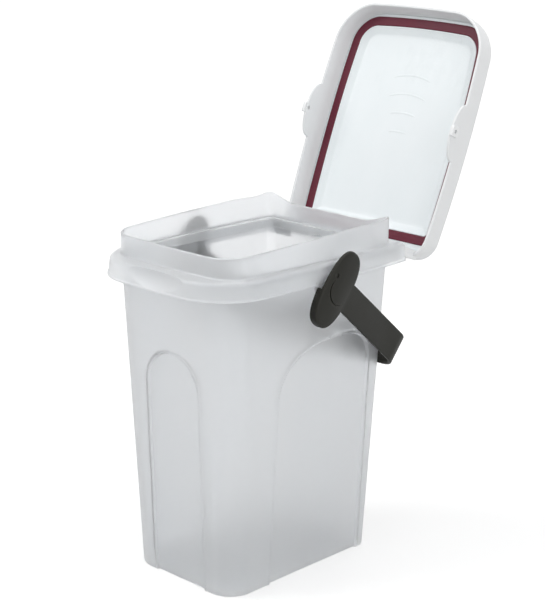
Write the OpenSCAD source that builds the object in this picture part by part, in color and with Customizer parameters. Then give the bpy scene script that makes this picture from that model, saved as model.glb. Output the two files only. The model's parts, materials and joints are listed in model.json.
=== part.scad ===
// Storage container with a flip lid, a sealing collar and a bail handle.
// Millimetres, +Z up. The origin is the centre of the tub's underside.
// The narrow front faces -Y, the lid is hinged at the back, and the handle lies at the back.

/* [Tub] */
// Width of the tub across its base
base_w = 117; // [100:1:160]
// Length of the tub along its base, front to back
base_l = 166; // [140:1:220]
// Height of the tub's wall, up to the underside of the flange
tub_h = 268; // [180:1:330]
// How far each side wall leans out over its height
side_draft = 10.7; // [6:0.1:16]
// How far the front wall leans out over its height
front_draft = 11.5; // [6:0.1:16]
// How far the back wall leans out over its height
back_draft = 8.8; // [5:0.1:14]
// Thickness of the tub's walls
wall = 2; // [1.4:0.1:3]
// Thickness of the tub's floor
floor_t = 2.6; // [1.6:0.1:5]
// Radius of the tub's front corners
front_r = 22; // [12:1:34]
// Radius of the tub's back corners
back_r = 9; // [5:0.5:14]
// How far the top of each long wall bulges outwards at its middle
tub_bow = 3; // [0:0.1:5]

/* [Arched panels] */
// Depth of the arched panels pressed into the walls
panel_depth = 1.6; // [0.6:0.1:2.5]
// Distance of the top of each arch below the underside of the flange
panel_drop = 67.5; // [50:0.5:90]
// Width of the arch on the front and back walls
end_panel_w = 62; // [40:1:76]
// Width of the arch on each long wall
side_panel_w = 104; // [60:1:110]
// How far the long walls' arches sit behind the middle of the tub
side_panel_y = 14; // [0:1:20]

/* [Rim] */
// How far the flange stands out beyond the mouth collar at the sides
flange_side = 9; // [7:0.5:14]
// How far the flange stands out beyond the mouth collar at the front
flange_front = 18.2; // [12:0.2:26]
// How far the flange stands out beyond the mouth collar at the back
flange_back = 17.1; // [16.5:0.1:22]
// Thickness of the flange and of its skirt
flange_t = 2; // [1.4:0.1:3]
// Height of the flange's skirt, measured down from the flange's top
skirt_h = 15.5; // [13:0.5:20]
// Radius of the flange's front corners
flange_front_r = 43; // [30:1:55]
// Thickness of the mouth collar
collar_t = 1.9; // [1.4:0.1:2.6]
// Height of the mouth collar above the flange, at the middle of the mouth
collar_h = 19.9; // [14:0.1:26]
// Height of the mouth collar's back wall above the flange
collar_back_h = 15.8; // [8:0.1:18]
// Slope of the collar's top edge, rising towards the back
seat_slope = 1.86; // [0:0.01:3]
// How far the long sides of the rim and lid bulge outwards at their middle
rim_bow = 4.3; // [1:0.1:6]
// Depth of the lip that plugs into the tub's mouth
lip_h = 6; // [4:0.5:10]
// Radius of the finger scoop's outline on the front of the flange
scoop_r = 34.5; // [26:0.5:40]
// Height of the scoop's middle above the flange's top
scoop_up = 21.5; // [16:0.5:26]
// Depth of the scoop at its middle
scoop_depth = 5; // [3:0.5:6]

/* [Lid] */
// How far the lid's skirt stands clear of the flange's sides
lid_side_gap = 0.7; // [0.4:0.1:1.5]
// Thickness of the lid's skirt
lid_t = 2.3; // [1.6:0.1:2.6]
// Thickness of the lid's liner
liner_t = 3.8; // [3.2:0.1:6]
// Thickness of the lid's top
lid_top_t = 2.2; // [1.6:0.1:3]
// How far the lid's front edge sits behind the flange's front edge
lid_front_set = 7.6; // [3:0.2:10]
// Height of the lid's rim above the flange, at the middle of the shut lid
lid_lift = 4.6; // [4.4:0.1:6]
// Length of the catch lobe on each long side of the lid
lobe_l = 47; // [36:1:60]
// Depth of the catch lobe below the lid's rim
lobe_h = 10.5; // [8:0.5:12]
// How far the lid leans open from shut
open_angle = 113.8; // [90:0.1:120]

/* [Seal] */
// Width of the sealing gasket
gasket_w = 8; // [6:0.5:8.5]
// Thickness of the sealing gasket
gasket_t = 3; // [2.4:0.1:3.6]
// How far the gasket stands out of its groove
gasket_proud = 1; // [0.6:0.1:1.4]

/* [Handle] */
// Width of the handle's strap
strap_w = 25; // [18:1:28]
// Thickness of the handle's strap
strap_t = 3.2; // [2.4:0.1:4]
// Length of the oval head at each end of the handle
head_l = 67; // [54:1:72]
// Width of the upper lobe of the oval head
head_w = 32; // [28:1:36]
// Angle of the folded handle below level
handle_drop = 39.5; // [36:0.5:44]
// Height of the handle's pivots above the flange's lower edge
pivot_below = 3.5; // [2:0.5:6]
// How far the pivots sit behind the middle of the tub
pivot_y = 7; // [0:0.5:12]
// Radius of the pivot studs
stud_r = 4; // [3:0.1:5]

/* [Hinge] */
// Radius of the lid's hinge pins
pin_r = 2; // [1.5:0.1:2.5]
// Running clearance around each hinge pin and pivot stud
running_gap = 0.05; // [0.03:0.01:0.08]
// Distance of the hinge axis in front of the flange's back edge
hinge_inset = 2.5; // [2:0.1:4]
// Depth of the hinge axis below the flange's top
hinge_below = 7.7; // [7:0.1:9]

/* [Hidden] */

// Clearances between pieces
seat_gap = 0.3;
fit_gap = 0.25;
lip_gap = 0.4;
press_gap = 0.02;
slip_gap = 0.5;
cut = 1;
slab = 0.1;
corner_steps = 8;
side_steps = 8;
round_fn = 64;
// Smallest radius that an inset leaves at a corner
least_r = 0.6;
// Share of the rim's bow that its front edge has
front_bow = 0.6;

// Tub
half_base = base_w / 2;
tub_front_top = base_l / 2 + front_draft;
tub_back_top = base_l / 2 + back_draft;
tub_side_top = half_base + side_draft;
panel_top = tub_h - panel_drop;
foot_chamfer = 2;

// Mouth: the flange's top lies one thickness above the tub's edge
flange_z = tub_h + flange_t;
skirt_z = flange_z - skirt_h;
collar_side_in = 1.9;
collar_front_out = 0.7;
collar_back_in = 2.2;
collar_side = tub_side_top - collar_side_in;
collar_front = tub_front_top + collar_front_out;
collar_back = tub_back_top - collar_back_in;
collar_front_r = 20;
collar_back_r = 2.5;
mouth_mid = (collar_back - collar_front) / 2;

// Flange outline
flange_half = collar_side + flange_side;
flange_yf = collar_front + flange_front;
flange_yb = collar_back + flange_back;
flange_back_r = 7;
flange_edge = 1.4;
skirt_x = flange_half + rim_bow;

// The back wall of the collar dips between its two corner horns
horn_w = 17;
horn_r = 22;
horn_sweep = 72;

// Sphere that presses the finger scoop into the front of the flange
scoop_ball = (scoop_r * scoop_r + scoop_depth * scoop_depth) / (2 * scoop_depth);
scoop_fn = 180;

// Hinge axis
hinge_y = flange_yb - hinge_inset;
hinge_z = flange_z - hinge_below;
lug_r = 6;
lug_x = 56;
lug_w = 10;
ear_w = 4.4;
ear_gap = 0.4;
pocket_back = 2;
pocket_x = lug_x - ear_gap - ear_w - ear_gap;
pocket_w = lug_w + 2 * (ear_w + 2 * ear_gap);
pocket_y = hinge_y - lug_r - pocket_back;
ear_r = 5.5;
neck_w = 8;
neck_trim = 0.3;
neck_h = 22;

// Lid, modelled level and then tilted onto the sloping collar
gasket_z = flange_z + collar_h + seat_gap;
lid_z = flange_z + lid_lift;
liner_z = gasket_z + gasket_proud;
liner_top_z = liner_z + liner_t;
lid_top_z = liner_top_z + lid_top_t;
lid_half = flange_half + lid_side_gap + lid_t;
lid_yf = flange_yf - lid_front_set;
lid_back_over = 3.8;
lid_yb = hinge_y + lid_back_over;
lid_front_r = 34.6;
lid_back_r = 19;
lid_lean = 1.3;
lid_edge = 2.6;
lid_shoulder = 5.5;
lobe_y = -3.5;
loop_l = 9;
loop_h = 12;
loop_t = 2.4;
loop_hole = 4.4;
lobe_set = 0.15;
catch_r = 6.5;
catch_t = 0.35;

// Liner under the lid's top; the gasket's middle lies over the middle of the collar's wall
gasket_mid = collar_t / 2;
groove_z = gasket_z + gasket_t;
pan_inset = 7;
pan_depth = 2.6;
mark_h = 0.5;
mark_w = 1.6;
mark_r = 60;
mark_pitch = 17;
mark_y = -51;
mark_spans = [40, 38, 27, 19];

// Handle
pivot_z = skirt_z - pivot_below;
hub_r = strap_w / 2;
hub_gap = 0.8;
hub_proud = 1.4;
hub_in = skirt_x + hub_gap;
head_in = lid_half + rim_bow + loop_t + slip_gap;
head_t = 3;
head_out = head_in + head_t;
hub_out = head_out + hub_proud;
lower_w = 30;
waist_r = 14.4;
arm_lean = 0.09;
bar_t = 3.6;
bend_r = 20;
bend_steps = 10;
arm_start = hub_out - strap_t;
back_lean = back_draft / tub_h;
drop_cos = cos(handle_drop);
drop_sin = sin(handle_drop);
// Reach of the handle's bar: its lower inner edge rests just clear of the tub's back wall
bar_reach = (base_l / 2 + back_lean * (pivot_z - hub_r * drop_cos) + seat_gap
  - pivot_y + hub_r * drop_sin) / (drop_cos + back_lean * drop_sin);

// Apron that carries each pivot
apron_half = 35;
apron_h = 21;
apron_t = 2.2;
apron_set = 0.4;
boss_r = 9;
boss_l = 7.6;
boss_out = skirt_x - apron_set;
boss_in = boss_out - boss_l;
stud_cover = 1;
stud_tip = head_out - stud_cover;

function reversed(points) = [for (i = [len(points) - 1:-1:0]) points[i]];

function mirrored(points) = [for (p = points) [-p[0], p[1]]];

// Corner arc of an outline, from angle a0 through 90 degrees
function corner(cx, cy, r, a0) = [
  for (i = [0:corner_steps]) [cx + r * cos(a0 + 90 * i / corner_steps), cy + r * sin(a0 + 90 * i / corner_steps)]
];

// Points between two ends of a straight side, without the ends
function between(a, b) = [for (i = [1:side_steps - 1]) a + (b - a) * i / side_steps];

// Rounded rectangle, front at -yf and back at +yb, with its own front and back radii
function straight_outline(half, yf, yb, rf, rb) = concat(
  corner(half - rf, -yf + rf, rf, -90),
  between([half, -yf + rf], [half, yb - rb]),
  corner(half - rb, yb - rb, rb, 0),
  corner(-half + rb, yb - rb, rb, 90),
  between([-half, yb - rb], [-half, -yf + rf]),
  corner(-half + rf, -yf + rf, rf, 180),
  between([-half + rf, -yf], [half - rf, -yf])
);

// The same outline with its long sides, and less so its front, bulging outwards
function bulge(p, half, yf, yb, bow) =
  let (
    mid = (yb - yf) / 2,
    along = (p[1] - mid) / ((yf + yb) / 2),
    across = p[0] / half,
    dx = 2 * abs(across) > 1 ? sign(p[0]) * bow * (1 - along * along) : 0,
    dy = p[1] < mid ? -front_bow * bow * max(0, 1 - across * across) : 0
  )
  [p[0] + dx, p[1] + dy];

function outline(half, yf, yb, rf, rb, bow) =
  [for (p = straight_outline(half, yf, yb, rf, rb)) bulge(p, half, yf, yb, bow)];

// Outline of the tub at a share of its height, brought in by an inset
module tub_plate(share, inset) {
  half = half_base + side_draft * share - inset;
  yf = base_l / 2 + front_draft * share - inset;
  yb = base_l / 2 + back_draft * share - inset;
  polygon(outline(half, yf, yb, front_r - inset, max(back_r - inset, least_r), tub_bow * share));
}

module collar_plate(inset) {
  polygon(outline(collar_side - inset, collar_front - inset, collar_back - inset,
    collar_front_r - inset, max(collar_back_r - inset, least_r), rim_bow));
}

module flange_plate(inset) {
  polygon(outline(flange_half - inset, flange_yf - inset, flange_yb - inset,
    flange_front_r - inset, flange_back_r - inset, rim_bow));
}

module lid_plate(inset) {
  polygon(outline(lid_half - inset, lid_yf - inset, lid_yb - inset,
    lid_front_r - inset, lid_back_r - inset, rim_bow));
}

// Drafted block with the tub's outer shape, brought in by an inset
module tub_block(inset, z0, z1) {
  hull() {
    translate([0, 0, z0])
      linear_extrude(slab) tub_plate(z0 / tub_h, inset + foot_chamfer);
    translate([0, 0, z0 + foot_chamfer])
      linear_extrude(slab) tub_plate((z0 + foot_chamfer) / tub_h, inset);
    translate([0, 0, z1 - slab])
      linear_extrude(slab) tub_plate(z1 / tub_h, inset);
  }
}

// Arch standing on the base, drawn flat: x across, y up
module arch(width, grow) {
  r = width / 2 + grow;
  translate([-r, -cut])
    square([2 * r, panel_top - width / 2 + cut]);
  translate([0, panel_top - width / 2])
    circle(r = r, $fn = round_fn);
}

// Arches of all four walls, as solids that pass out through the walls
module arch_prisms(grow) {
  reach = base_l;
  rotate([90, 0, 0])
    linear_extrude(reach, center = false) arch(end_panel_w, grow);
  rotate([90, 0, 180])
    linear_extrude(reach, center = false) arch(end_panel_w, grow);
  translate([0, side_panel_y, 0])
    rotate([90, 0, 90])
      linear_extrude(2 * reach, center = true) arch(side_panel_w, grow);
}

module tub() {
  color([0.90, 0.92, 0.94, 0.5])
    difference() {
      tub_block(0, 0, tub_h);
      difference() {
        arch_prisms(0);
        tub_block(panel_depth, -2 * foot_chamfer, tub_h + cut);
      }
      difference() {
        tub_block(wall, floor_t, tub_h + slab);
        difference() {
          arch_prisms(wall);
          tub_block(wall + panel_depth, floor_t, tub_h + slab);
        }
      }
    }
}

// Everything above the sloping plane of the collar's top edge
module above_seat(level) {
  span = 3 * base_l;
  translate([0, mouth_mid, level])
    rotate([seat_slope, 0, 0])
      translate([-span / 2, -span / 2, 0])
        cube([span, span, span]);
}

// Gap cut in the collar's back wall: a flat dip that sweeps up into the horns
module back_dip() {
  half = collar_side - horn_w;
  dip_z = flange_z + collar_back_h;
  sweep = [for (i = [0:corner_steps]) let (a = horn_sweep * i / corner_steps)
    [half + horn_r * sin(a), dip_z + horn_r * (1 - cos(a))]];
  translate([0, collar_back + cut, 0])
    rotate([90, 0, 0])
      linear_extrude(collar_t + 2 * cut)
        polygon(concat(sweep, reversed(mirrored(sweep))));
}

// Ball of the finger scoop, grown by the wall that is left behind it
module scoop(grow) {
  translate([0, scoop_depth - flange_yf - front_bow * rim_bow - scoop_ball, flange_z + scoop_up])
    rotate([0, 90, 0])
      sphere(r = scoop_ball + grow, $fn = scoop_fn);
}

// Half oval that hangs below the skirt, and the boss for the stud, on the +X side
module apron() {
  points = [for (i = [0:2 * corner_steps]) let (a = 180 + 90 * i / corner_steps)
    [pivot_y + apron_half * cos(a), skirt_z + apron_h * sin(a)]];
  top = [[pivot_y + apron_half, skirt_z + 2 * flange_t], [pivot_y - apron_half, skirt_z + 2 * flange_t]];
  translate([boss_out - apron_t, 0, 0])
    rotate([90, 0, 90])
      linear_extrude(apron_t) polygon(concat(points, top));
  translate([boss_in, pivot_y, pivot_z])
    rotate([0, 90, 0])
      cylinder(r = boss_r, h = boss_l, $fn = round_fn);
}

module hinge_lug() {
  translate([lug_x, hinge_y, hinge_z])
    rotate([0, 90, 0])
      cylinder(r = lug_r, h = lug_w, $fn = round_fn);
  translate([lug_x, pocket_y - 2 * flange_t, hinge_z - lug_r])
    cube([lug_w, hinge_y - pocket_y + 2 * flange_t, 2 * lug_r]);
}

module both_sides() {
  children();
  mirror([1, 0, 0]) children();
}

module rim_frame() {
  color([0.93, 0.95, 0.96, 0.6])
    difference() {
      union() {
        // Flange and its skirt
        difference() {
          hull() {
            translate([0, 0, skirt_z])
              linear_extrude(skirt_h - flange_edge) flange_plate(0);
            translate([0, 0, flange_z - slab])
              linear_extrude(slab) flange_plate(flange_edge);
          }
          difference() {
            translate([0, 0, skirt_z - cut])
              linear_extrude(skirt_h - flange_t + cut) flange_plate(flange_t);
            scoop(flange_t);
          }
          translate([0, 0, tub_h - cut])
            linear_extrude(flange_t + 2 * cut) collar_plate(collar_t);
        }
        // Mouth collar, with its sloping top edge and lower back wall
        difference() {
          translate([0, 0, tub_h])
            linear_extrude(2 * collar_h) collar_plate(0);
          translate([0, 0, tub_h - cut])
            linear_extrude(2 * collar_h + 2 * cut) collar_plate(collar_t);
          above_seat(flange_z + collar_h);
          back_dip();
        }
        // Ledge and lip that plug into the tub's mouth
        difference() {
          translate([0, 0, tub_h - lip_h])
            linear_extrude(lip_h + flange_t) tub_plate(1, wall + lip_gap);
          translate([0, 0, tub_h - lip_h - cut])
            linear_extrude(lip_h + flange_t + 2 * cut) tub_plate(1, wall + lip_gap + collar_t);
        }
        // Pocket walls behind the collar, around each hinge
        both_sides()
          translate([pocket_x - flange_t, pocket_y - flange_t, skirt_z])
            cube([pocket_w + 2 * flange_t, flange_t, skirt_h - flange_edge]);
        both_sides() apron();
        both_sides() catch_boss();
      }
      both_sides()
        translate([pocket_x, pocket_y, skirt_z - cut])
          cube([pocket_w, flange_yb - pocket_y + cut, skirt_h + 2 * cut]);
      both_sides()
        translate([boss_in - cut, pivot_y, pivot_z])
          rotate([0, 90, 0])
            cylinder(r = stud_r + press_gap, h = boss_l + 2 * cut, $fn = round_fn);
      scoop(0);
    }
  color([0.93, 0.95, 0.96, 0.6])
    both_sides()
      difference() {
        hinge_lug();
        translate([lug_x - cut, hinge_y, hinge_z])
          rotate([0, 90, 0])
            cylinder(r = pin_r + running_gap, h = lug_w + 2 * cut, $fn = round_fn);
      }
}

// Low round boss on the skirt that the lid's loop bears on
module catch_boss() {
  translate([skirt_x - flange_t, lobe_y, flange_z - skirt_h / 2])
    rotate([0, 90, 0])
      cylinder(r = catch_r, h = flange_t + catch_t, $fn = round_fn);
}

// Puts a piece of the level lid onto the sloping collar
module seated() {
  translate([0, mouth_mid, gasket_z])
    rotate([seat_slope, 0, 0])
      translate([0, -mouth_mid, -gasket_z])
        children();
}

// Swings a piece of the shut lid open about the hinge
module opened() {
  translate([0, hinge_y, hinge_z])
    rotate([-open_angle, 0, 0])
      translate([0, -hinge_y, -hinge_z])
        children();
}

module lid_block(inset, z0, z1) {
  hull() {
    translate([0, 0, z0])
      linear_extrude(slab) lid_plate(inset);
    translate([0, 0, z1 - lid_shoulder])
      linear_extrude(slab) lid_plate(inset + lid_lean);
    translate([0, 0, z1 - slab])
      linear_extrude(slab) lid_plate(inset + lid_lean + lid_edge);
  }
}

// Lobe that hangs from the lid's rim, drawn flat: x along the lid, y up
module lobe_shape() {
  points = [for (i = [0:2 * corner_steps]) let (a = 180 + 90 * i / corner_steps)
    [lobe_y + lobe_l / 2 * cos(a), lid_z + lobe_h * sin(a)]];
  top = [[lobe_y + lobe_l / 2, lid_z + lid_t], [lobe_y - lobe_l / 2, lid_z + lid_t]];
  polygon(concat(points, top));
}

// Catch lobe and its square loop, on the +X side
module catch_lobe() {
  outer = lid_half + rim_bow - lobe_set;
  loop_z = lid_z - lobe_h;
  difference() {
    union() {
      translate([outer - lid_t + lobe_set, 0, 0])
        rotate([90, 0, 90])
          linear_extrude(lid_t - lobe_set) lobe_shape();
      translate([outer - cut, lobe_y - loop_l / 2, loop_z])
        cube([loop_t + cut, loop_l, loop_h]);
    }
    translate([outer - lid_t - cut, lobe_y - loop_hole / 2, loop_z + (loop_h - loop_hole) / 2])
      cube([lid_t + loop_t + 2 * cut, loop_hole, loop_hole]);
  }
}

// One hinge ear of the lid, standing on the shut lid's hinge axis
module hinge_ear() {
  difference() {
    union() {
      rotate([0, 90, 0])
        cylinder(r = ear_r, h = ear_w, $fn = round_fn);
      translate([0, -neck_w / 2, 0])
        cube([ear_w, neck_w - neck_trim, neck_h]);
    }
    translate([-cut, 0, 0])
      rotate([0, 90, 0])
        cylinder(r = pin_r + press_gap, h = ear_w + 2 * cut, $fn = round_fn);
  }
}

module lid_shell() {
  color("white")
    opened() {
      seated() {
        difference() {
          lid_block(0, lid_z, lid_top_z);
          lid_block(lid_t, lid_z - cut, liner_top_z);
        }
        both_sides() catch_lobe();
      }
      both_sides() {
        translate([lug_x - ear_gap - ear_w, hinge_y, hinge_z]) hinge_ear();
        translate([lug_x + lug_w + ear_gap, hinge_y, hinge_z]) hinge_ear();
      }
    }
}

// Shallow arc-shaped ribs on the liner's panel
module liner_marks() {
  for (i = [0:len(mark_spans) - 1]) {
    half = asin(mark_spans[i] / 2 / mark_r);
    translate([0, mark_y + mark_pitch * i + mark_r, liner_z + pan_depth - mark_h])
      rotate([0, 0, -90 - half])
        rotate_extrude(angle = 2 * half, $fn = 2 * round_fn)
          translate([mark_r, 0])
            square([mark_w, mark_h + mark_h]);
  }
}

module lid_liner() {
  color([0.95, 0.97, 0.97])
    opened()
      seated() {
        difference() {
          lid_block(lid_t + fit_gap, lid_z - cut, liner_top_z);
          translate([0, 0, lid_z - 2 * cut])
            linear_extrude(liner_z - lid_z + 2 * cut) lid_plate(0);
          difference() {
            translate([0, 0, liner_z - cut])
              linear_extrude(groove_z - liner_z + cut) collar_plate(gasket_mid - gasket_w / 2);
            translate([0, 0, liner_z - 2 * cut])
              linear_extrude(groove_z - liner_z + 4 * cut) collar_plate(gasket_mid + gasket_w / 2);
          }
          translate([0, 0, liner_z - cut])
            linear_extrude(pan_depth + cut) collar_plate(pan_inset);
        }
        liner_marks();
      }
}

module gasket() {
  color([0.43, 0.17, 0.24])
    opened()
      seated()
        difference() {
          translate([0, 0, gasket_z])
            linear_extrude(gasket_t) collar_plate(gasket_mid - gasket_w / 2);
          translate([0, 0, gasket_z - cut])
            linear_extrude(gasket_t + 2 * cut) collar_plate(gasket_mid + gasket_w / 2);
        }
}

// Half of the bail seen from the front of its own frame: x outwards, y along the arm
function bail_side(offset, reach) = concat(
  [[arm_start + offset, 0]],
  [for (i = [0:bend_steps]) let (
      a = 90 * i / bend_steps,
      r = bend_r - (strap_t - offset),
      cx = arm_start + strap_t - arm_lean * (bar_reach + bar_t - bend_r) - bend_r,
      cy = bar_reach + bar_t - bend_r)
    [cx + r * cos(a), cy + (reach - cy) * sin(a)]]
);

// Bent strap: both arms and the bar, as one U-shaped ribbon
module bail() {
  outer = bail_side(strap_t, bar_reach + bar_t);
  inner = bail_side(0, bar_reach);
  linear_extrude(strap_w, center = true)
    polygon(concat(outer, reversed(mirrored(outer)), mirrored(inner), reversed(inner)));
}

// Rounded lobe, drawn flat, reaching from a waist around the pivot
module lobe(width, waist) {
  r = width / 2;
  hull() {
    circle(r = waist, $fn = round_fn);
    translate([0, head_l / 2 - r])
      circle(r = r, $fn = round_fn);
  }
}

// Oval head on the +X side, in the handle's own frame: y along the arm, z across it
module head() {
  translate([head_in, 0, 0])
    rotate([90, 0, 90])
      linear_extrude(head_t) {
        lobe(head_w, waist_r);
        mirror([0, 1]) lobe(lower_w, waist_r);
      }
  translate([hub_in, 0, 0])
    rotate([90, 0, 90])
      linear_extrude(head_in - hub_in + cut)
        mirror([0, 1]) lobe(lower_w, hub_r);
  translate([hub_in, 0, 0])
    rotate([0, 90, 0])
      cylinder(r = hub_r, h = hub_out - hub_in, $fn = round_fn);
}

module handle() {
  color([0.20, 0.20, 0.18])
    translate([0, pivot_y, pivot_z])
      rotate([-handle_drop, 0, 0])
        difference() {
          union() {
            bail();
            both_sides() head();
          }
          both_sides()
            translate([hub_in - cut, 0, 0])
              rotate([0, 90, 0])
                cylinder(r = stud_r + running_gap, h = stud_tip + seat_gap - hub_in + cut, $fn = round_fn);
        }
}

module stud() {
  translate([boss_in, pivot_y, pivot_z])
    rotate([0, 90, 0])
      cylinder(r = stud_r, h = stud_tip - boss_in, $fn = round_fn);
}

module right_handle_pivot() {
  color([0.25, 0.25, 0.25]) stud();
}

module left_handle_pivot() {
  color([0.25, 0.25, 0.25]) mirror([1, 0, 0]) stud();
}

module hinge_pin() {
  length = lug_w + 2 * (ear_w + ear_gap);
  translate([lug_x - ear_gap - ear_w, hinge_y, hinge_z])
    rotate([0, 90, 0])
      cylinder(r = pin_r, h = length, $fn = round_fn);
}

module right_hinge_pin() {
  color("white") hinge_pin();
}

module left_hinge_pin() {
  color("white") mirror([1, 0, 0]) hinge_pin();
}

tub();
rim_frame();
lid_shell();
lid_liner();
gasket();
handle();
left_handle_pivot();
right_handle_pivot();
left_hinge_pin();
right_hinge_pin();
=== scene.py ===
# %% [markdown]
# # A dry-food keeper with a flip lid and a bail handle
#
# This lesson builds the looks of a kitchen storage container around its working model. The real one is
# four mouldings and a seal: a tall frosted tub, a rim frame with a raised mouth, a white lid with a
# liner and a rubber gasket, and a dark handle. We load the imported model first, because every piece we
# model has to sit exactly where the working part is. All our sizes are in millimetres, and one scale
# turns them into Blender's metres when a mesh is made.

# %% Load the working model
import json
import math

import bmesh
import bpy
import numpy as np
from mathutils import Matrix, Vector


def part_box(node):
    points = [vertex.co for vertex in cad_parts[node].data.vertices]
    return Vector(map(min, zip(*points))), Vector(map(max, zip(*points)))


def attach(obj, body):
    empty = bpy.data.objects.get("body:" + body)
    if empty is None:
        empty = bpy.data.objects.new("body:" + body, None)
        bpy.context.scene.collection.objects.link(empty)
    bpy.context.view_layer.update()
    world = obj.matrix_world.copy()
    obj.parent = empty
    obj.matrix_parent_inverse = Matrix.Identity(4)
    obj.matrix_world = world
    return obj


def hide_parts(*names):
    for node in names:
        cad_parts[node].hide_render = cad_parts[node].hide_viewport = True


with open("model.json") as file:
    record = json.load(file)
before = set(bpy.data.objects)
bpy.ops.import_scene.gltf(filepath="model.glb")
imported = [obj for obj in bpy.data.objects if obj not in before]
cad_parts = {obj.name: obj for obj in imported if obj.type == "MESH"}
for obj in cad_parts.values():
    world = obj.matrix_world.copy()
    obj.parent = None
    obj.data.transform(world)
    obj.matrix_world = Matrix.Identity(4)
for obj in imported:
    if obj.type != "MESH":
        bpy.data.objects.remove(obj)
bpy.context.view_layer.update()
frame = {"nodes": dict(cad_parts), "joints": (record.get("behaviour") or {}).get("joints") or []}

MM = 0.001
print("nodes:", sorted(frame["nodes"]))

# %% [markdown]
# ## Read the driving sizes from the model
#
# Heights, widths and axes could be typed in again, but then the looks and the working part would drift
# apart. So the overall sizes come from the boxes of the loaded nodes and from the joints, and only the
# details that a moulder would add, such as a radius or a draft, are set by name further down.

# %% Overall sizes from the nodes and joints
def box_mm(node):
    low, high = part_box(node)
    return np.array(low) / MM, np.array(high) / MM


joints = {joint["name"]: joint for joint in frame["joints"]}
hinge_y, hinge_z = (value / MM for value in joints["lid_hinge"]["pos_m"][1:])
pivot_y, pivot_z = (value / MM for value in joints["handle_hinge"]["pos_m"][1:])
open_angle = joints["lid_hinge"]["range_deg"][1]
rim_low, rim_high = box_mm("rim_frame")
tub_h = box_mm("tub")[1][2]
print("tub height", round(tub_h, 2), "hinge at", hinge_y, hinge_z, "lid opens", open_angle)

# %% [markdown]
# ## Outlines that share their points
#
# Tub, mouth collar, flange and lid are all the same kind of outline: a rounded rectangle, narrower
# radii at the back, with long sides that bulge a little. They could be drawn as curves and filled, but
# lofting between two of them then needs matching points. Here one function makes every outline with
# the same number of points in the same order, so any two of them can be joined ring to ring.

# %% Outline functions
FRONT_BOW = 0.6
LEAST_RADIUS = 0.6
FRONT_STEPS = 72
BACK_STEPS = 10
END_STEPS = 96


def bulged(x, y, half, front, back, bow):
    """Pushes the long sides, and less so the front, outwards at their middle."""
    middle = (back - front) / 2
    along = (y - middle) / ((front + back) / 2)
    across = x / half
    side = np.where(np.abs(across) > 0.5, np.sign(x) * bow * (1 - along ** 2), 0)
    nose = np.where(y < middle, -FRONT_BOW * bow * np.clip(1 - across ** 2, 0, None), 0)
    return x + side, y + nose


def arc_points(cx, cy, radius, start, steps):
    angles = np.radians(start + 90 * np.linspace(0, 1, steps + 1))
    return np.column_stack([cx + radius * np.cos(angles), cy + radius * np.sin(angles)])


def straight_points(start, end, shares):
    shares = np.asarray(shares)[:, None]
    return np.array(start) * (1 - shares) + np.array(end) * shares


def even_shares(count):
    return np.arange(1, count) / count


def packed_shares(low, high, places, before, after):
    """Shares of the way from low to high: the given places, and even steps before and after them."""
    first = np.linspace(low, places[0], before)[1:-1]
    last = np.linspace(places[-1], high, after)[1:-1]
    return (np.concatenate([first, places, last]) - low) / (high - low)


class Plan:
    """A rounded outline seen from above, which can be brought in by any inset.

    The spread widens it towards the back, and the side shares place the points of its long sides.
    """

    def __init__(self, half, front, back, front_r, back_r, bow, side_shares, spread=0.0):
        self.sizes = (half, front, back, front_r, back_r, bow)
        self.spread = spread
        self.side_shares = np.asarray(side_shares)

    def ring(self, inset=0.0):
        half, front, back, front_r, back_r, bow = self.sizes
        half, front, back = half - inset, front - inset, back - inset
        front_r, back_r = front_r - inset, max(back_r - inset, LEAST_RADIUS)
        right = np.vstack([
            arc_points(half - front_r, -front + front_r, front_r, -90, FRONT_STEPS),
            straight_points([half, -front + front_r], [half, back - back_r], self.side_shares),
            arc_points(half - back_r, back - back_r, back_r, 0, BACK_STEPS),
        ])
        end_shares = even_shares(END_STEPS)
        behind = straight_points([half - back_r, back], [-half + back_r, back], end_shares)
        ahead = straight_points([-half + front_r, -front], [half - front_r, -front], end_shares)
        points = np.vstack([right, behind, right[::-1] * (-1, 1), ahead])
        x, y = bulged(points[:, 0], points[:, 1], half, front, back, bow)
        rear = np.clip((y - (back - front) / 2) / ((front + back) / 2), 0, 1)
        return np.column_stack([x * (1 + self.spread / half * rear ** 2), y])


# %% [markdown]
# ## Turning rings into closed meshes
#
# A moulding is a thin closed shell. It could be a surface with a Solidify modifier, but a moulded rim
# changes its thickness and radius along its profile. So each piece is a stack of rings that runs all
# the way round its section. Either the last ring meets the first one, as in a tube, or both ends close
# in a fan at their middle.

# %% Mesh helpers
SHARP_ANGLE = math.radians(38)
WELD = 0.0005


def mix(first, second, share):
    return first * (1 - share) + second * share


def at_height(ring, z):
    return np.column_stack([ring, np.broadcast_to(z, len(ring))])


def make_piece(name, points, faces):
    mesh = bpy.data.meshes.new(name)
    mesh.from_pydata((np.asarray(points) * MM).tolist(), [], faces)
    piece = bpy.data.objects.new(name, mesh)
    bpy.context.scene.collection.objects.link(piece)
    return piece


def ring_faces(ring_count, size, joined):
    rows = ring_count if joined else ring_count - 1
    faces = []
    for row in range(rows):
        low, high = row * size, ((row + 1) % ring_count) * size
        for n in range(size):
            after = (n + 1) % size
            faces.append((low + n, low + after, high + after, high + n))
    return faces


def facing_out(piece, weld=0.0):
    """Merges points closer than weld, and turns all faces of a closed mesh outwards."""
    work = bmesh.new()
    work.from_mesh(piece.data)
    if weld:
        bmesh.ops.remove_doubles(work, verts=work.verts, dist=weld * MM)
    bmesh.ops.recalc_face_normals(work, faces=work.faces)
    work.to_mesh(piece.data)
    work.free()
    return piece


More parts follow.
